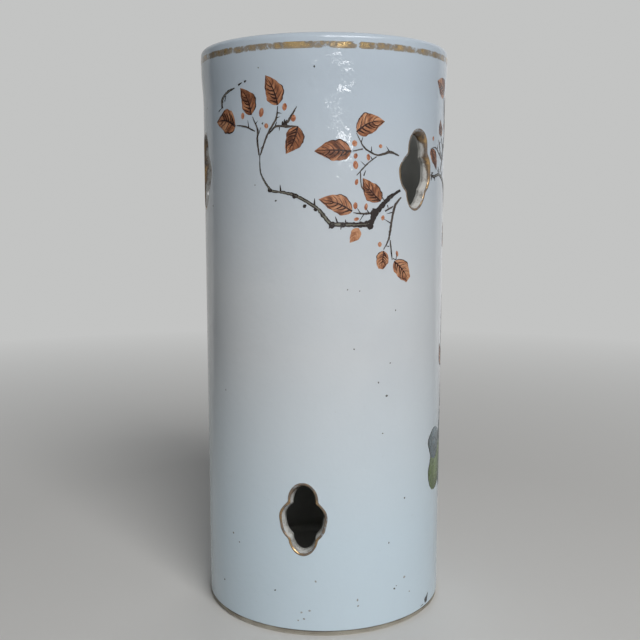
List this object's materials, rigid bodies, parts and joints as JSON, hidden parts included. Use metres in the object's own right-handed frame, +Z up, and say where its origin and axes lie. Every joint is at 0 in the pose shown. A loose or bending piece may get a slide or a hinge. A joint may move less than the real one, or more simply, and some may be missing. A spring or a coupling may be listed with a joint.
{
  "type": "hat stand",
  "caption": "Tall porcelain tube, open at the top and pierced by lobed vents, that stands on its foot ring and holds a hat on its rounded lip.",
  "frame": {"origin": "centre of the foot ring's standing face", "axes": "+Z up along the tube's axis, -Y out of the front lower vent, +X to the right of it"},
  "size_m": [0.123, 0.123, 0.279],
  "materials": {
    "glaze": "glossy bluish white glaze",
    "biscuit": "unglazed, stained",
    "slip": "glazed slip",
    "gilding": "worn gilding",
    "branch": "dark brown overglaze enamel",
    "leaf": "red-brown overglaze enamel",
    "bud": "orange overglaze enamel",
    "rock": "grey-blue and green overglaze enamel"
  },
  "bodies": {
    "root": {"body_tube": "glaze", "floor_disc": "glaze", "foot_ring": "biscuit", "floor_lute": "slip", "floor_fillet": "slip", "rim_gilding": "gilding", "lower_vent_gilding_1": "gilding", "lower_vent_gilding_2": "gilding", "lower_vent_gilding_3": "gilding", "upper_vent_gilding_1": "gilding", "upper_vent_gilding_2": "gilding", "upper_vent_gilding_3": "gilding", "branch_enamel": "branch", "leaf_enamel": "leaf", "bud_enamel": "bud", "rock_enamel": "rock"}
  },
  "joints": []
}
